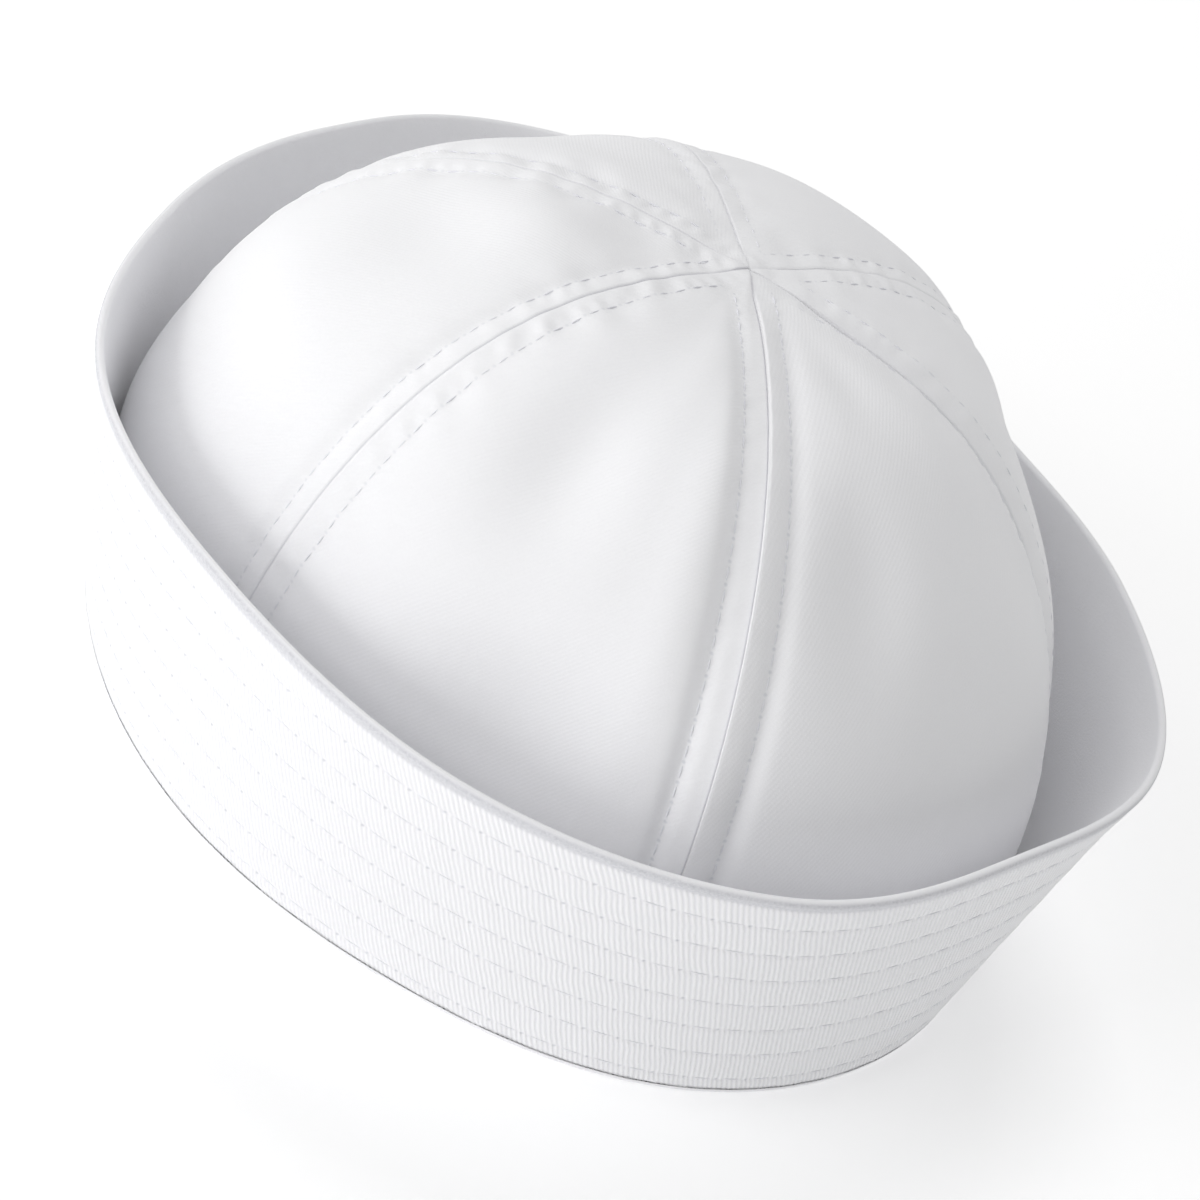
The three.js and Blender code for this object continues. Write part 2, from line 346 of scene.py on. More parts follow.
def bleachedCottonTwill(look, stitching):
    material, tree, shader = newMaterial("bleached cotton twill")
    cloth = addNode(tree, "ShaderNodeUVMap", {"uv_map": "cloth"})
    seam = addNode(tree, "ShaderNodeUVMap", {"uv_map": "seam"})
    split = addNode(tree, "ShaderNodeSeparateXYZ", None, {"Vector": seam.outputs["UV"]})
    # the seam map's first number is 0 at the seam and 1 at the stitch row, about 5 mm away
    fromRow = addNode(tree, "ShaderNodeMath", {"operation": "MULTIPLY_ADD"},
                      {0: split.outputs["X"], 1: look["mapScale"], 2: -look["mapScale"]})
    crisp = addNode(tree, "ShaderNodeAttribute", {"attribute_name": "crisp"})
    # painted shade: a thin grey line along the seam's crack, as strong as the seam is crisp
    crackStart, crackEnd = look["crackWidth"]
    crackShade = addNode(tree, "ShaderNodeMapRange", {"interpolation_type": "SMOOTHSTEP"},
                    {"Value": split.outputs["X"], "From Min": crackStart, "From Max": crackEnd,
                     "To Min": crisp.outputs["Fac"], "To Max": 0.0})
    pricks = needleHoles(tree, fromRow.outputs[0], split.outputs["Y"], stitching["pitch"])
    holes = addNode(tree, "ShaderNodeMath", {"operation": "MULTIPLY"},
                    {0: pricks, 1: crisp.outputs["Fac"]})
    turned = addNode(tree, "ShaderNodeMapping", None,
                     {"Vector": cloth.outputs["UV"], "Rotation": (0, 0, math.radians(look["lay"]))})
    # a wave of scale 1 has a band every 2 pi / 20 units
    ridges = addNode(tree, "ShaderNodeTexWave",
                     {"wave_type": "BANDS", "bands_direction": "X", "wave_profile": "SIN"},
                     {"Vector": turned.outputs["Vector"],
                      "Scale": 2 * math.pi / (20 * look["ridge"]),
                      "Distortion": look["ridgeWander"], "Detail": 1.0, "Detail Scale": 1.5})
    threads = addNode(tree, "ShaderNodeTexNoise", None,
                      {"Vector": cloth.outputs["UV"], **cottonLook["grain"]})
    height = addNode(tree, "ShaderNodeMath", {"operation": "MULTIPLY_ADD"},
                     {0: ridges.outputs["Fac"], 1: look["ridgeHeight"], 2: threads.outputs["Fac"]})
    pricked = addNode(tree, "ShaderNodeMath", {"operation": "MULTIPLY_ADD"},
                      {0: holes.outputs[0], 1: -look["holeDepth"], 2: height.outputs[0]})
    bump = addNode(tree, "ShaderNodeBump", None,
                   {"Height": pricked.outputs[0], "Strength": look["relief"],
                    "Distance": look["ridgeDepth"] * mm})
    tree.links.new(bump.outputs["Normal"], shader.inputs["Normal"])
    clothTone = addNode(tree, "ShaderNodeMix", colorMix,
                    {0: threads.outputs["Fac"], 6: look["light"], 7: look["shade"]})
    # painted shade: grey in the needle holes, as strong as the seam is crisp
    withHoleShade = addNode(tree, "ShaderNodeMix", colorMix,
                   {0: holes.outputs[0], 6: clothTone.outputs[2], 7: look["holeShade"]})
    # painted shade along the seam's crack
    withCrackShade = addNode(tree, "ShaderNodeMix", colorMix,
                     {0: crackShade.outputs["Result"], 6: withHoleShade.outputs[2], 7: look["crackShade"]})
    tree.links.new(withCrackShade.outputs[2], shader.inputs["Base Color"])
    finishCotton(shader, look["roughness"])
    return material


# Bleached ribbed cotton of the brim: fine cords run up the strip, a little on the slant. The eye
# sees them as thin upright lines where the light rakes across, and loses them where it doesn't.
# Seven rows of quilting show as thin broken grey lines, with painted shade in their needle holes.
# The hollows between the cords get painted shade, and a narrow band on the rim's fold is made grainy
# and greyer with painted shade.
ribLook = {
    "light": "#fbfbfd",
    # the next three colours are painted shade: in the hollows between the cords, in the needle holes,
    # and on a grainy band over the rim's fold
    "shade": "#eeeef2",
    "holeShade": "#dddee3",
    "foldShade": "#aeafb6",
    "pitch": 0.98,
    "slant": 20.0,
    "wander": 0.9,
    "wanderScale": 0.12,
    "beading": 1.6,
    "leastBead": 0.1,
    "hollowShade": (-1.0, 0.6),
    "threadHeight": 2.2,
    "holeDepth": 1.2,
    "ribDepth": 0.085,
    "relief": 0.7,
    "roughness": 0.86,
}


def bleachedRibbedCotton(look, ribPitch, stitchPitch, stitching):
    material, tree, shader = newMaterial("bleached ribbed cotton")
    cloth = addNode(tree, "ShaderNodeUVMap", {"uv_map": "cloth"})
    split = addNode(tree, "ShaderNodeSeparateXYZ", None, {"Vector": cloth.outputs["UV"]})
    slant = math.tan(math.radians(look["slant"]))
    sheared = addNode(tree, "ShaderNodeMath", {"operation": "MULTIPLY_ADD"},
                      {0: split.outputs["Y"], 1: slant, 2: split.outputs["X"]})
    wander = addNode(tree, "ShaderNodeTexNoise", None,
                     {"Vector": cloth.outputs["UV"], "Scale": look["wanderScale"],
                      "Detail": 2.0, "Roughness": 0.5})
    unevenly = addNode(tree, "ShaderNodeMath", {"operation": "MULTIPLY_ADD"},
                       {0: wander.outputs["Fac"], 1: look["wander"], 2: sheared.outputs[0]})
    turns = addNode(tree, "ShaderNodeMath", {"operation": "MULTIPLY"},
                    {0: unevenly.outputs[0], 1: 2 * math.pi / ribPitch})
    wave = addNode(tree, "ShaderNodeMath", {"operation": "SINE"}, {0: turns.outputs[0]})
    outer = addNode(tree, "ShaderNodeAttribute", {"attribute_name": "ribbed"})
    threads = addNode(tree, "ShaderNodeTexNoise", None,
                      {"Vector": cloth.outputs["UV"], **cottonLook["grain"]})
    beaded = addNode(tree, "ShaderNodeMath", {"operation": "MULTIPLY_ADD"},
                     {0: threads.outputs["Fac"], 1: look["beading"], 2: look["leastBead"]})
    onOuter = addNode(tree, "ShaderNodeMath", {"operation": "MULTIPLY"},
                      {0: beaded.outputs[0], 1: outer.outputs["Fac"]})
    ribs = addNode(tree, "ShaderNodeMath", {"operation": "MULTIPLY"},
                   {0: wave.outputs[0], 1: onOuter.outputs[0]})
    fromRim = addNode(tree, "ShaderNodeAttribute", {"attribute_name": "fromRim"})
    pastFirst = addNode(tree, "ShaderNodeMath", {"operation": "SUBTRACT"},
                        {0: fromRim.outputs["Fac"], 1: stitching["first"]})
    fromRow = addNode(tree, "ShaderNodeMath", {"operation": "PINGPONG"},
                      {0: pastFirst.outputs[0], 1: stitching["apart"] / 2})
    alongRow = addNode(tree, "ShaderNodeMath", {"operation": "MULTIPLY_ADD"},
                       {0: fromRim.outputs["Fac"], 1: stitching["stagger"], 2: split.outputs["X"]})
    pricks = needleHoles(tree, fromRow.outputs[0], alongRow.outputs[0], stitchPitch)
    holes = addNode(tree, "ShaderNodeMath", {"operation": "MULTIPLY"},
                    {0: pricks, 1: outer.outputs["Fac"]})
    height = addNode(tree, "ShaderNodeMath", {"operation": "MULTIPLY_ADD"},
                     {0: threads.outputs["Fac"], 1: look["threadHeight"], 2: ribs.outputs[0]})
    pricked = addNode(tree, "ShaderNodeMath", {"operation": "MULTIPLY_ADD"},
                      {0: holes.outputs[0], 1: -look["holeDepth"], 2: height.outputs[0]})
    bump = addNode(tree, "ShaderNodeBump", None,
                   {"Height": pricked.outputs[0], "Strength": look["relief"],
                    "Distance": look["ribDepth"] * mm})
    tree.links.new(bump.outputs["Normal"], shader.inputs["Normal"])
    # painted shade: the hollows between the cords are drawn darker
    lowest, highest = look["hollowShade"]
    hollowShade = addNode(tree, "ShaderNodeMapRange", None,
                     {"Value": ribs.outputs[0], "From Min": lowest, "From Max": highest,
                      "To Min": 1.0, "To Max": 0.0})
    clothTone = addNode(tree, "ShaderNodeMix", colorMix,
                    {0: hollowShade.outputs["Result"], 6: look["light"], 7: look["shade"]})
    # painted shade, broken up by the thread grain, on a narrow band over the rim's fold
    fold = addNode(tree, "ShaderNodeAttribute", {"attribute_name": "fold"})
    foldShade = addNode(tree, "ShaderNodeMath", {"operation": "MULTIPLY"},
                     {0: threads.outputs["Fac"], 1: fold.outputs["Fac"]})
    withFoldShade = addNode(tree, "ShaderNodeMix", colorMix,
                     {0: foldShade.outputs[0], 6: clothTone.outputs[2], 7: look["foldShade"]})
    # painted shade: grey in the needle holes of the quilting
    withHoleShade = addNode(tree, "ShaderNodeMix", colorMix,
                   {0: holes.outputs[0], 6: withFoldShade.outputs[2], 7: look["holeShade"]})
    tree.links.new(withHoleShade.outputs[2], shader.inputs["Base Color"])
    finishCotton(shader, look["roughness"])
    return material


# Mercerised cotton sewing thread: white like the cloth, with a slight gloss and a tight twist.
threadLook = {
    "light": "#f6f6fa",
    "shade": "#e6e7ec",
    "twist": 0.5,
    "relief": 0.3,
    "strandDepth": 0.05,
    "roughness": 0.7,
}


def cottonThread(look):
    material, tree, shader = newMaterial("white cotton thread")
    place = addNode(tree, "ShaderNodeTexCoord")
    strands = addNode(tree, "ShaderNodeTexNoise", None,
                      {"Vector": place.outputs["Object"],
                       "Scale": 1 / (look["twist"] * mm), "Detail": 2.0})
    twisted = addNode(tree, "ShaderNodeMix", colorMix,
                      {0: strands.outputs["Fac"], 6: look["light"], 7: look["shade"]})
    tree.links.new(twisted.outputs[2], shader.inputs["Base Color"])
    bump = addNode(tree, "ShaderNodeBump", None,
                   {"Height": strands.outputs["Fac"], "Strength": look["relief"],
                    "Distance": look["strandDepth"] * mm})
    tree.links.new(bump.outputs["Normal"], shader.inputs["Normal"])
    shader.inputs["Roughness"].default_value = look["roughness"]
    return material


thread = cottonThread(threadLook)

# stitches
# bow is how far a stitch's middle stands over its ends, in its radii; end is its thickness there
stitchForm = {"rings": 7, "sides": 6, "bow": 1.6, "end": 0.45}


def stitchMesh(name, starts, ends, normals, radius, sink):
    # each stitch is a thread from hole to hole: rings along the line, bowed up from the cloth by a
    # sine and thinner at both ends
    rings, sides, end = stitchForm["rings"], stitchForm["sides"], stitchForm["end"]
    t = np.linspace(0, 1, rings)[None, :, None]
    turn = np.radians(np.arange(0, 360, 360 // sides))[None, None, :, None]
    line = ends - starts
    line /= np.linalg.norm(line, axis=-1)[:, None]
    aside = np.cross(normals, line)
    aside /= np.linalg.norm(aside, axis=-1)[:, None]
    bow = radius * stitchForm["bow"] * np.sin(np.pi * t) - sink
    middle = starts[:, None] * (1 - t) + ends[:, None] * t + normals[:, None] * bow
    thickness = radius * (end + (1 - end) * np.sin(np.pi * t) ** 0.5)[..., None]
    ring = middle[:, :, None] + thickness * (np.cos(turn) * normals[:, None, None]
                                             + np.sin(turn) * aside[:, None, None])
    # two four-cornered faces close each end of the six-sided tube
    last = (rings - 1) * sides
    endFaces = [[3, 2, 1, 0], [0, 5, 4, 3],
                [last, last + 1, last + 2, last + 3], [last + 3, last + 4, last + 5, last]]
    tube = np.concatenate([gridFaces(rings, sides, True), endFaces])
    faces = (np.arange(len(starts))[:, None, None] * rings * sides + tube[None]).reshape(-1, 4)
    piece = meshPiece(name, ring, faces)
    piece.data.materials.append(thread)
    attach(piece, "root")
    return piece


def gridNormals(grid, closedAround=False):
    # unit cross product of the grid's two slopes
    if closedAround:
        around = np.roll(grid, -1, 1) - np.roll(grid, 1, 1)
    else:
        around = np.gradient(grid, axis=1)
    normal = np.cross(around, np.gradient(grid, axis=0))
    return normal / np.maximum(np.linalg.norm(normal, axis=-1), 1e-9)[..., None]


def onGrid(grid, row, column):
    # straight-line mix of the four grid points round a place given in rows and columns
    r = np.clip(np.floor(row).astype(int), 0, grid.shape[0] - 2)
    c = np.floor(column).astype(int) % grid.shape[1]
    d = (c + 1) % grid.shape[1]
    up, aside = (row - r)[:, None], (column - np.floor(column))[:, None]
    return ((grid[r, c] * (1 - aside) + grid[r, d] * aside) * (1 - up)
            + (grid[r + 1, c] * (1 - aside) + grid[r + 1, d] * aside) * up)


print("materials made")

# crown
# the first number of a pair is for the gore that ends at the seam, the second for the one that
# starts there. row is how far the stitches are from the seam, ridge how high the seam stands over
# them, valley how deep they pull the cloth, step how far the second gore's fold stands over the
# first, pucker how far the cloth is drawn up between stitches, crisp how clearly the crack, the
# needle holes and the thread show, and how strong the crack's and the holes' painted shade is
seams = {
    "front": {"angle": 233.5, "row": (5.6, 5.2), "ridge": (0.90, 1.30), "valley": (1.60, 1.40),
              "step": 0.80, "pucker": (0.10, 0.10), "crisp": 1.0, "seed": 11},
    "left": {"angle": 176.3, "row": (4.6, 5.2), "ridge": (0.45, 0.30), "valley": (0.85, 0.25),
             "step": 0.12, "pucker": (0.24, 0.34), "crisp": 0.6, "seed": 12},
    "farLeft": {"angle": 120.4, "row": (5.2, 5.2), "ridge": (0.40, 0.40), "valley": (0.60, 0.60),
                "step": 0.12, "pucker": (0.34, 0.42), "crisp": 0.5, "seed": 13},
    "back": {"angle": 60.8, "row": (5.2, 5.2), "ridge": (0.40, 0.40), "valley": (0.40, 0.40),
             "step": 0.12, "pucker": (0.22, 0.22), "crisp": 0.4, "seed": 14},
    "farRight": {"angle": -8.4, "row": (5.2, 5.2), "ridge": (0.35, 0.35), "valley": (0.35, 0.35),
                 "step": 0.12, "pucker": (0.22, 0.22), "crisp": 0.4, "seed": 15},
    "right": {"angle": 301.3, "row": (6.0, 5.2), "ridge": (-1.80, -1.30), "valley": (-0.30, 0.10),
              "step": 0.12, "pucker": (0.14, 0.14), "crisp": 0.25, "seed": 16},
}
# each gore's cut size is its widest and its longest plus 8 mm for every seam, in metres, and its
# area is in square metres
gores = [
    {"name": "crown_gore_1", "from": "left", "to": "front", "cut": (0.113, 0.172), "area": 0.0146},
    {"name": "crown_gore_2", "from": "farLeft", "to": "left", "cut": (0.114, 0.182), "area": 0.0153},
    {"name": "crown_gore_3", "from": "back", "to": "farLeft", "cut": (0.111, 0.178), "area": 0.0145},
    {"name": "crown_gore_4", "from": "farRight", "to": "back", "cut": (0.133, 0.182), "area": 0.0177},
    {"name": "crown_gore_5", "from": "right", "to": "farRight", "cut": (0.096, 0.173), "area": 0.0125},
    {"name": "crown_gore_6", "from": "front", "to": "right", "cut": (0.122, 0.180), "area": 0.0162},
]
# the stitches of a seam that shows faintly lie deeper in the cloth; firstAt is the lowest stitch,
# in pitches from the foot, and a row ends where it comes to the meetAt share of the gore's width
crownStitching = {"pitch": 3.9, "dash": 2.9, "radius": 0.14, "sink": 0.15, "faintSink": 0.14,
                  "firstAt": 2.5, "meetAt": 0.49}
# pairs are where a change starts and ends: a width or a distance in mm, or, for the rows, the step,
# the puckers, the foot and the allowance, a share of the way up
goreLook = {
    "rows": 230,
    "columns": 132,
    "puff": 2.2,
    "heldEdge": 0.12,
    "heldFoot": (0.04, 0.11),
    "seamGap": 0.05,
    "widestGap": 0.12,
    "rowsCloser": 0.25,
    "rowsCloseIn": (0.4, 0.9),
    "stepEnds": (0.58, 0.82),
    "ridgeWidths": (6, 24),
    "valleyWidths": (8, 30),
    "valleyFade": 0.004,
    "valleyShift": 0.4,
    "valleyWidth": 1.8,
    "creaseWidths": (1, 7),
    "creaseDepth": 0.36,
    "creaseWidth": 0.25,
    "waves": 0.45,
    "waveLength": 46.0,
    "waveSeed": 5,
    "wavesFrom": (0, 14),
    "allowance": 8.0,
    "allowanceEdge": 0.6,
    "allowanceThickness": 0.9,
    "allowanceStarts": (0.07, 0.11),
    "foldMapStart": 0.1,
}
# puckers come and go along a seam, over lengths drawn between the two of gather. The tight ones
# follow the stitches; each looser one has its wave length, its reach and how far it is moved
# towards the seam
puckering = {
    "gather": (24, 50),
    "middle": 0.55,
    "swing": 0.45,
    "low": 0.7,
    "gain": 0.5,
    "grows": (0.5, 0.75),
    "tight": 0.6,
    "tightReach": 1.5,
    "tightShift": 1.0,
    "lean": 0.4,
    "loose": [(7.9, 2.2, 1.8), (11.9, 4.2, -1.0)],
}
# soft dents and ridges: shares of the way up and across, half-sizes in shares, mm deep inwards
dents = [
    {"gore": "crown_gore_1", "up": 0.60, "across": 0.44, "tall": 0.11, "wide": 0.17, "depth": 4.4},
    {"gore": "crown_gore_1", "up": 0.35, "across": 0.60, "tall": 0.10, "wide": 0.20, "depth": 3.4},
    {"gore": "crown_gore_1", "up": 0.58, "across": 0.84, "tall": 0.20, "wide": 0.10, "depth": -2.2},
    {"gore": "crown_gore_1", "up": 0.78, "across": 0.70, "tall": 0.08, "wide": 0.13, "depth": -1.0},
    {"gore": "crown_gore_2", "up": 0.77, "across": 0.52, "tall": 0.06, "wide": 0.26, "depth": -1.8},
    {"gore": "crown_gore_2", "up": 0.88, "across": 0.50, "tall": 0.05, "wide": 0.30, "depth": 1.3},
    {"gore": "crown_gore_2", "up": 0.66, "across": 0.42, "tall": 0.07, "wide": 0.26, "depth": 2.8},
    {"gore": "crown_gore_2", "up": 0.50, "across": 0.57, "tall": 0.07, "wide": 0.22, "depth": -2.2},
    {"gore": "crown_gore_2", "up": 0.34, "across": 0.36, "tall": 0.09, "wide": 0.26, "depth": 2.2},
    {"gore": "crown_gore_2", "up": 0.20, "across": 0.40, "tall": 0.10, "wide": 0.40, "depth": -1.5},
    {"gore": "crown_gore_3", "up": 0.70, "across": 0.45, "tall": 0.14, "wide": 0.30, "depth": 2.2},
    {"gore": "crown_gore_5", "up": 0.55, "across": 0.50, "tall": 0.14, "wide": 0.26, "depth": 1.6},
    {"gore": "crown_gore_6", "up": 0.81, "across": 0.44, "tall": 0.06, "wide": 0.14, "depth": 1.0},
    {"gore": "crown_gore_6", "up": 0.58, "across": 0.29, "tall": 0.10, "wide": 0.13, "depth": 3.0},
    {"gore": "crown_gore_6", "up": 0.47, "across": 0.53, "tall": 0.13, "wide": 0.17, "depth": 2.6},
    {"gore": "crown_gore_6", "up": 0.72, "across": 0.70, "tall": 0.07, "wide": 0.12, "depth": -0.8},
    {"gore": "crown_gore_6", "up": 0.26, "across": 0.70, "tall": 0.12, "wide": 0.24, "depth": -1.5},
]


def rowDistance(seam, side, share):
    # the stitches come a quarter nearer to the seam on the way up
    look = goreLook
    return seam["row"][side] * (1 - look["rowsCloser"] * smoothStep(*look["rowsCloseIn"], share))


def seamPuckers(seam, side, away, along, share, row):
    # a wave at the stitch pitch just inside the stitch row and two longer ones about it, each
    # fading with a bell away from its line and gathered by a slow sine along the seam
    look = puckering
    draw = np.random.default_rng(seam["seed"])
    gather = [look["middle"] + look["swing"] * np.sin(
        along * 2 * np.pi / draw.uniform(*look["gather"]) + draw.uniform(0, 7)) for _ in range(3)]
    pucker = seam["pucker"][side] * (look["low"] + look["gain"] * smoothStep(*look["grows"], share))
    tight = np.cos(2 * np.pi * along / crownStitching["pitch"])
    relief = (look["tight"] * pucker * gather[0] * tight
              * bell(away - row + look["tightShift"], look["tightReach"]))
    for drawn, (length, reach, shift) in zip(gather[1:], look["loose"]):
        wave = np.sin((along + look["lean"] * away) * 2 * np.pi / length + draw.uniform(0, 7))
        relief = relief + pucker * drawn * wave * bell(away - row + shift, reach)
    return relief


def seamRelief(seam, side, away, along, share, width):
    # an upturned V between the two stitch rows with a thin crack along its top, a soft valley at
    # the row, and puckers
    look = goreLook
    row = rowDistance(seam, side, share)
    step = seam["step"] * (1 - smoothStep(*look["stepEnds"], share))
    height = (seam["ridge"][side] + side * step) * smoothStep(*look["ridgeWidths"], width)
    valley = seam["valley"][side] * smoothStep(*look["valleyWidths"], width)
    valley = valley * (1 - look["valleyFade"] * along)
    # a high fold hides the crack beside it
    crease = look["creaseDepth"] * seam["crisp"] * smoothStep(*look["creaseWidths"], width)
    crease = crease * (1 - step)
    return (height * np.clip(1 - away / row, 0, 1)
            - valley * bell(away - row - look["valleyShift"], look["valleyWidth"])
            - crease * bell(away, look["creaseWidth"])
            + seamPuckers(seam, side, away, along, share, row))


def goreSurface(gore):
    # outer and inner grids of one gore: dome plus relief along its normal, wall behind it
    look = goreLook
    share = np.linspace(0, 1, look["rows"])[:, None]
    across = (0.5 - 0.5 * np.cos(np.pi * np.linspace(0, 1, look["columns"])))[None, :]
    rise, length = riseAt(share)
    # the dome's formula has no slope at the very top, so the cloth stops a hair short of it
    rise = np.minimum(rise, 1 - 1e-10)
    first, last = seams[gore["from"]], seams[gore["to"]]
    start, end = math.radians(first["angle"]), math.radians(last["angle"])
    start = start if start < end else start - 2 * math.pi
    lean = np.array([*capForm["crownLean"], 0.0])
    axis = lean * (rise**2)[..., None]
    radius = np.linalg.norm((crownPoint(np.full_like(rise, start), rise) - axis)[..., :2], axis=-1)
    margin = np.minimum(look["seamGap"] / 2 / np.maximum(radius, 1e-3), look["widestGap"])
    angle = start + margin + (end - start - 2 * margin) * across
    rise = rise + 0 * across
    base, normal = crownPoint(angle, rise), crownNormal(angle, rise)
    width = np.linalg.norm(np.diff(base, axis=1), axis=-1).sum(1)[:, None]
    along = share * length + 0 * across
    fromFirst, fromLast = across * width, (1 - across) * width
    away = np.minimum(fromFirst, fromLast)

    # the seams hold the cloth, so dents fade out towards them
    heldEdge = smoothStep(0, look["heldEdge"], np.minimum(across, 1 - across))
    relief = look["puff"] * np.sin(np.pi * across) * np.sin(np.pi * share)
    for dent in (dent for dent in dents if dent["gore"] == gore["name"]):
        up, aside = share - dent["up"], across - dent["across"]
        shape = bell(up, dent["tall"]) * bell(aside, dent["wide"])
        relief = relief - dent["depth"] * shape * heldEdge
    waves = look["waves"] * softNoise(base, look["waveLength"], look["waveSeed"])
    relief = relief + waves * smoothStep(*look["wavesFrom"], away)
    relief = relief + seamRelief(first, 1, fromFirst, along, share, width)
    relief = relief + seamRelief(last, 0, fromLast, along, share, width)
    # near the lower edge the cloth is flat again, where the brim holds it
    relief = relief * smoothStep(*look["heldFoot"], share)
    outer = base + normal * relief[..., None]

    allowance = 1 - smoothStep(look["allowance"] - look["allowanceEdge"], look["allowance"], away)
    allowance = look["allowanceThickness"] * allowance * smoothStep(*look["allowanceStarts"], share)
    thickness = capForm["clothThickness"] + allowance
    inner = outer - normal * thickness[..., None]
    level = outwards(angle[:1]) * capForm["clothThickness"]
    inner[:1] = outer[:1] - level
    # the folded gore hides its own crack, so its map starts a little way out, past the crack's painted
    # shade
    mapStart = look["foldMapStart"]
    inRows = np.where(fromFirst < fromLast,
                      mapStart + (1 - mapStart) * fromFirst / rowDistance(first, 1, share),
                      fromLast / rowDistance(last, 0, share))
    crisp = np.where(fromFirst < fromLast, first["crisp"], last["crisp"])
    layers = {"cloth": np.stack([fromFirst - width / 2, along], -1),
              "seam": np.stack([inRows, along], -1)}
    return outer, inner, layers, crisp, width[:, 0], length


def shellMesh(name, outer, inner, layers, crisp):
    # two grids joined round their edges into one closed shell
    rows, columns = outer.shape[:2]
    count = rows * columns
    index = np.arange(count).reshape(rows, columns)
    front = gridFaces(rows, columns, False)
    backFaces = front[:, ::-1] + count
    edge = np.concatenate([index[0, :-1], index[:-1, -1], index[-1, :0:-1], index[:0:-1, 0]])
    following = np.roll(edge, -1)
    sides = np.stack([following, edge, edge + count, following + count], -1)
    faces = np.concatenate([front, backFaces, sides])
    points = np.concatenate([outer.reshape(-1, 3), inner.reshape(-1, 3)])
    corners = {title: np.concatenate([uv.reshape(-1, 2)] * 2)[faces.ravel()]
               for title, uv in layers.items()}
    piece = meshPiece(name, points, faces, corners)
    addMeasure(piece, "crisp", np.concatenate([crisp.ravel()] * 2))
    return piece


def goreStitches(gore, outer, width, length):
    # ends of the stitches of a gore's two rows, each along its own seam, from the foot up to where
    # the two rows meet
    rows, columns = outer.shape[:2]
    normals = gridNormals(outer)
    pitch, dash, meetAt = (crownStitching[key] for key in ("pitch", "dash", "meetAt"))
    middles = np.arange(crownStitching["firstAt"], length / pitch) * pitch
    # a hair off the last column keeps every place inside the grid
    hair = 1e-6
    found = [[], [], []]
    for side, seam in ((0, seams[gore["from"]]), (1, seams[gore["to"]])):
        ends = []
        for along in (middles - dash / 2, middles + dash / 2):
            row = along / length * (rows - 1)
            share = rowDistance(seam, 1 - side, along / length)
            share = share / np.interp(row, np.arange(rows), width)
            column = np.arccos(1 - 2 * np.clip(share, 0, 0.5)) / np.pi * (columns - 1)
            ends.append((row, np.abs(side * (columns - 1) - column) - hair, share < meetAt))
        kept = ends[0][2] & ends[1][2]
        upright = onGrid(normals, ends[0][0][kept], ends[0][1][kept])
        deeper = crownStitching["faintSink"] * (1 - seam["crisp"])
        for store, (row, column, _) in zip(found, ends):
            store.append(onGrid(outer, row[kept], column[kept]) - upright * deeper)
        found[2].append(upright)
    return [np.concatenate(part) for part in found]


twill = bleachedCottonTwill(twillLook, crownStitching)
stitchEnds = []
for gore in gores:
    outer, inner, layers, crisp, width, length = goreSurface(gore)
    piece = shellMesh("cloth_" + gore["name"], outer, inner, layers, crisp)
    piece.data.materials.append(twill)
    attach(piece, "root")
    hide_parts(gore["name"])
    stitchEnds.append(goreStitches(gore, outer, width, length))
starts, ends, normals = (np.concatenate(part) for part in zip(*stitchEnds))
normals /= np.linalg.norm(normals, axis=-1)[:, None]
stitchMesh("crown_stitching", starts, ends, normals,
           crownStitching["radius"], crownStitching["sink"])
print("crown sewn:", len(gores), "gores,", len(starts), "stitches")

# brim
# the rim's fold gets grainy painted shade over foldOut, in mm from the rim, and over foldOver, in
# radians past it; the ribs start over ribsFrom and the puckers over puckersFrom, in mm from the rim;
# the top curls out from a share of the way up, most towards curlAngle
brimLook = {
    "width": 62.9,
    "thickness": 1.8,
    "columns": 480,
    "groove": 0.22,
    "grooveWidth": 0.50,
    "quilt": 0.05,
    "lip": 2.1,
    "lipGroove": 0.22,
    "lipWidth": 0.6,
    "foldOut": (1.8, 2.8),
    "foldOver": (0.5, 1.4),
    "ribsFrom": (1.5, 2.8),
    "curl": 0.6,
    "curlFrom": (0.8, 1.0),
    "curlAngle": 285.0,
    "curlSwing": 0.4,
    "waves": 0.6,
    "waveLength": 80.0,
    "waveTall": 0.4,
    "waveSeed": 21,
    "wavesFrom": (0.1, 0.9),
    "puckers": 0.03,
    "puckerLength": 9.0,
    "puckerTall": 2.2,
    "puckerSeed": 33,
    "puckersFrom": (3, 8),
    "foldHeight": 2.0,
    "footRounding": 1.7,
    "tuckHeight": 8.5,
    "tuckThickness": 1.2,
    "seatClearance": 0.5,
    "cut": (0.64, 0.077),
}
brimStitching = {"rows": 7, "first": 8.6, "apart": 8.17, "pitch": 6.3, "dash": 5.0, "stagger": 0.35,
                 "radius": 0.14, "sink": 0.13}
# the outer face's places up the strip, in mm: above and below each row of stitches, and the rim
besideRow = (3.4, 2.2, 1.4, 0.9, 0.45, 0.0, -0.45, -0.9, -1.4, -2.2)
nearRim = [4.6, 3.6, 3.0, 2.6, 2.2, 1.9, 1.6, 1.3]
stitchRows = brimStitching["first"] + brimStitching["apart"] * np.arange(brimStitching["rows"])


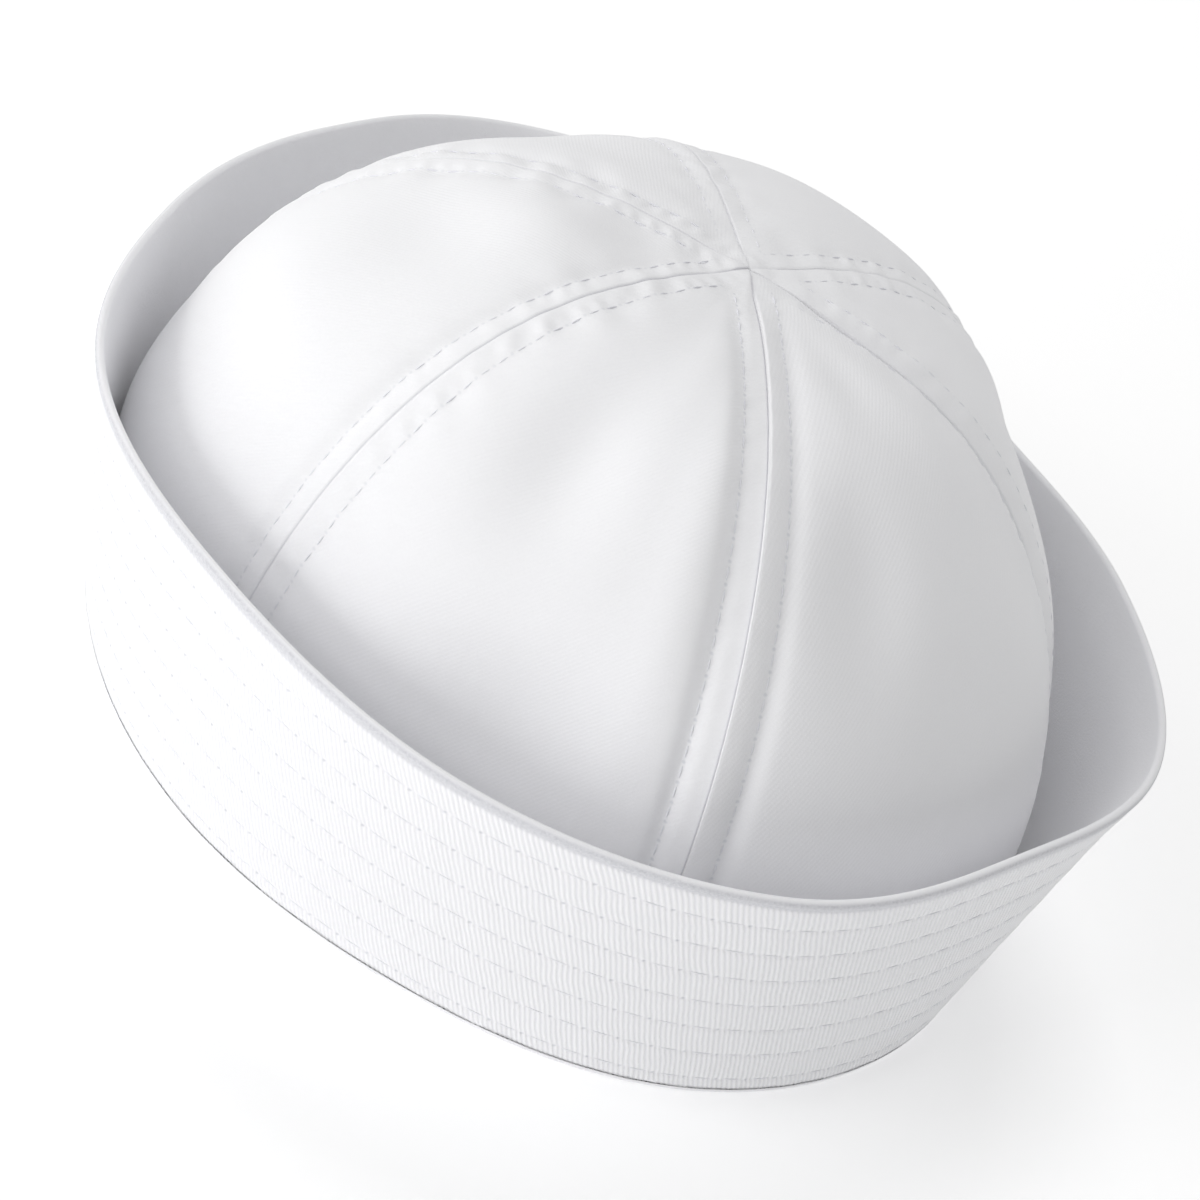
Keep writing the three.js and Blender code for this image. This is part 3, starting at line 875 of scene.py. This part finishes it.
def brimSection(angle):
    # points (out from the foot, up) round the strip's section for every angle, with how far each is
    # from the rim on the outer face, or -1 elsewhere, and 1 where it is on the rim's fold
    look = brimLook
    flare = roundHead("flare", angle)
    height = np.sqrt(look["width"] ** 2 - flare**2)
    slope = np.stack([flare, height], -1) / look["width"]
    face = np.stack([slope[..., 1], -slope[..., 0]], -1)

    def strip(width, depth):
        return slope * np.asarray(width)[..., None] - face * np.asarray(depth)[..., None]

    def tuckFace(level):
        rise = np.full_like(angle, level / capForm["crownHeight"])
        out = outwards(angle)
        crown = ((crownPoint(angle, rise) - footPoint(angle)) * out).sum(-1)
        slant = (crownNormal(angle, rise) * out).sum(-1)
        return crown - capForm["clothThickness"] / slant - look["seatClearance"]

    rimRadius = look["thickness"] / 2
    seat = tuckFace(look["foldHeight"])
    end = seat - look["tuckThickness"]
    section, fromRim, fold = [], [], []

    def add(point, rimDistance=-1.0, folded=0.0):
        section.append(np.broadcast_to(point, angle.shape + (2,)))
        fromRim.append(rimDistance)
        fold.append(folded)

    r = look["footRounding"]
    for t in np.linspace(0, 1, 7):
        add(np.stack([np.full_like(angle, -r), 0 * angle], -1) * (1 - t) ** 2 + strip(r, 0) * t**2)
    marks = [look["width"] - r - 0.6]
    for row in stitchRows[::-1]:
        marks += [row + step for step in besideRow]
    for fromTop in marks + nearRim:
        add(strip(look["width"] - fromTop, 0), fromTop, 1 - smoothStep(*look["foldOut"], fromTop))
    for turn in np.linspace(0, np.pi, 13):
        around = rimRadius * np.array([math.sin(turn), math.cos(turn)])
        add(strip(look["width"] - rimRadius + around[0], rimRadius - around[1]), -1.0,
            1 - smoothStep(*look["foldOver"], turn))
    seatWidth = (look["foldHeight"] * look["width"] - look["thickness"] * flare) / height
    for t in np.linspace(0.03, 1, 34):
        add(strip((look["width"] - rimRadius) * (1 - t) + seatWidth * t, look["thickness"]))
    add(np.stack([seat, np.full_like(angle, look["foldHeight"])], -1))
    shoulder = look["tuckHeight"] - look["tuckThickness"] / 2
    for t in np.linspace(0.25, 1, 4):
        level = look["foldHeight"] * (1 - t) + shoulder * t
        add(np.stack([tuckFace(level), np.full_like(angle, level)], -1))
    top = tuckFace(shoulder)
    tuckRadius = look["tuckThickness"] / 2
    for turn in np.linspace(0.5, np.pi, 4):
        level = shoulder + tuckRadius * math.sin(turn)
        add(np.stack([top - tuckRadius * (1 - math.cos(turn)), np.full_like(angle, level)], -1))
    for t in np.linspace(0, 1, 6):
        point = (np.stack([end, np.full_like(angle, r)], -1) * (1 - t) ** 2
                 + np.stack([end, 0 * angle], -1) * 2 * t * (1 - t)
                 + np.stack([end + r, 0 * angle], -1) * t**2)
        add(point)
    return np.stack(section, 0), np.array(fromRim), np.array(fold)


def brimSurface():
    # the section carried round the foot, with quilting, puckers and soft waves straight outwards
    look = brimLook
    angle = np.linspace(0, 2 * np.pi, look["columns"], endpoint=False)
    section, fromRim, fold = brimSection(angle)
    out = outwards(angle)
    points = footPoint(angle)[None] + out[None] * section[..., :1]
    points[..., 2] = section[..., 1]
    # lengths along the strip are taken on the outer face, near its foot
    ring = points[20]
    around = np.concatenate([[0], np.cumsum(np.linalg.norm(np.diff(ring, axis=0), axis=-1))])
    length = around[-1] + np.linalg.norm(ring[0] - ring[-1])
    climb = np.clip(section[..., 1] / look["width"], 0, 1)
    wave = softNoise(points * [1, 1, look["waveTall"]], look["waveLength"], look["waveSeed"])
    swing = look["curlSwing"] * np.cos(angle - np.radians(look["curlAngle"]))
    curl = look["curl"] * smoothStep(*look["curlFrom"], climb) * (1 - look["curlSwing"] + swing)
    shift = look["waves"] * wave * smoothStep(*look["wavesFrom"], climb) + curl
    onFace = (fromRim >= 0)[:, None]
    quilting = np.zeros_like(climb)
    for row in stitchRows:
        quilting = quilting - look["groove"] * bell(fromRim - row, look["grooveWidth"])[:, None]
    quilting = quilting - look["lipGroove"] * bell(fromRim - look["lip"], look["lipWidth"])[:, None]
    past = fromRim - brimStitching["first"]
    between = np.abs(np.sin(np.pi * past / brimStitching["apart"])) * (past > 0)
    quilting = quilting + look["quilt"] * between[:, None]
    place = np.stack([around[None] + 0 * climb, look["puckerTall"] * section[..., 1]], -1)
    pucker = look["puckers"] * softNoise(place, look["puckerLength"], look["puckerSeed"])
    pucker = pucker * smoothStep(*look["puckersFrom"], fromRim)[:, None]
    shift = shift + onFace * (quilting + pucker)
    points = points + out[None] * shift[..., None]
    return points, fromRim, fold, around, length


def brimMesh(points, fromRim, fold, around, length):
    # the section's points joined round the foot and round the section itself
    rows, columns = points.shape[:2]
    closed = np.concatenate([points, points[:1]], 0)
    index = np.arange(rows * columns).reshape(rows, columns)
    above = np.roll(index, -1, 0)
    faces = np.stack([index, np.roll(index, -1, 1), np.roll(above, -1, 1), above], -1)
    steps = np.linalg.norm(np.diff(closed, axis=0), axis=-1).mean(1)
    up = np.concatenate([[0], np.cumsum(steps)])
    u = np.broadcast_to(np.append(around, length), (rows + 1, columns + 1))
    v = np.broadcast_to(up[:, None], (rows + 1, columns + 1))
    corners = [(slice(0, -1), slice(0, -1)), (slice(0, -1), slice(1, None)),
               (slice(1, None), slice(1, None)), (slice(1, None), slice(0, -1))]
    uv = np.stack([np.stack([u[c], v[c]], -1) for c in corners], -2)
    piece = meshPiece("cloth_brim", points, faces.reshape(-1, 4), {"cloth": uv.reshape(-1, 2)})
    ribbed = smoothStep(*brimLook["ribsFrom"], fromRim)
    for title, value in (("ribbed", ribbed), ("fromRim", fromRim), ("fold", fold)):
        addMeasure(piece, title, np.repeat(value, columns))
    return piece


def brimStitches(points, fromRim, around, length, pitch):
    # stitches at a fixed pitch along each row, the rows staggered
    columns = points.shape[1]
    normals = gridNormals(points, True)
    faceRows = np.flatnonzero(fromRim >= 0)
    found = [[], [], []]
    for distance in stitchRows:
        middles = (np.arange(round(length / pitch)) + 0.5) * pitch
        middles = middles - brimStitching["stagger"] * distance
        row = np.full(len(middles), np.interp(-distance, -fromRim[faceRows], faceRows))
        for store, shift in zip(found, (-0.5, 0.5, 0.0)):
            along = np.mod(middles + shift * brimStitching["dash"], length)
            column = np.interp(along, np.append(around, length), np.arange(columns + 1)) % columns
            store.append(onGrid(normals if shift == 0 else points, row, column))
    return [np.concatenate(part) for part in found]


points, fromRim, fold, around, length = brimSurface()
brim = brimMesh(points, fromRim, fold, around, length)
ribPitch = length / round(length / ribLook["pitch"])
quiltPitch = length / round(length / brimStitching["pitch"])
brim.data.materials.append(bleachedRibbedCotton(ribLook, ribPitch, quiltPitch, brimStitching))
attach(brim, "root")
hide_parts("brim")
starts, ends, normals = brimStitches(points, fromRim, around, length, quiltPitch)
stitchMesh("brim_stitching", starts, ends, normals,
           brimStitching["radius"], brimStitching["sink"])
print("brim turned up:", len(starts), "stitches")

# setting
# the light comes low from the camera's left, with softer light from in front and from behind
settingLook = {
    "floor": "#ffffff",
    "floorRoughness": 0.95,
    "floorSize": 60.0,
    "floorGlow": 0.25,
    "sky": 0.44,
    "lightSize": 0.6,
    "lightDistance": 1.4,
}
# degrees aside from the camera and up from the floor, and watts
lights = [
    {"name": "key light", "aside": -65, "up": 20, "power": 2.4},
    {"name": "low key light", "aside": -45, "up": 5, "power": 5.4},
    {"name": "high key light", "aside": -45, "up": 40, "power": 2.1},
    {"name": "front light", "aside": 0, "up": 40, "power": 0.45},
    {"name": "back light", "aside": -170, "up": 60, "power": 4.3},
]


def paleFloor(look):
    half = look["floorSize"] / 2
    mesh = bpy.data.meshes.new("floor")
    corners = [(-half, -half, 0), (half, -half, 0), (half, half, 0), (-half, half, 0)]
    mesh.from_pydata(corners, [], [(0, 1, 2, 3)])
    floor = bpy.data.objects.new("floor", mesh)
    bpy.context.scene.collection.objects.link(floor)
    material, tree, shader = newMaterial("pale matt paper")
    shader.inputs["Base Color"].default_value = linearColor(look["floor"])
    shader.inputs["Roughness"].default_value = look["floorRoughness"]
    shader.inputs["Emission Color"].default_value = (1, 1, 1, 1)
    shader.inputs["Emission Strength"].default_value = look["floorGlow"]
    mesh.materials.append(material)


def softLight(look, light):
    # a square soft light that looks at the middle of the cap's foot
    azimuth = math.radians(cameraView["azimuth"] + light["aside"])
    elevation = math.radians(light["up"])
    back = Vector((math.sin(azimuth) * math.cos(elevation),
                   -math.cos(azimuth) * math.cos(elevation), math.sin(elevation)))
    lamp = bpy.data.objects.new(light["name"], bpy.data.lights.new(light["name"], "AREA"))
    lamp.data.size = look["lightSize"]
    lamp.data.energy = light["power"]
    turn = back.to_track_quat("Z", "Y").to_matrix().to_4x4()
    lamp.matrix_world = Matrix.Translation(back * look["lightDistance"]) @ turn
    bpy.context.scene.collection.objects.link(lamp)


paleFloor(settingLook)
world = bpy.data.worlds.new("white room")
bpy.context.scene.world = world
world.use_nodes = True
world.node_tree.nodes["Background"].inputs["Color"].default_value = (1, 1, 1, 1)
world.node_tree.nodes["Background"].inputs["Strength"].default_value = settingLook["sky"]
for light in lights:
    softLight(settingLook, light)
bpy.context.scene.view_settings.view_transform = "Standard"
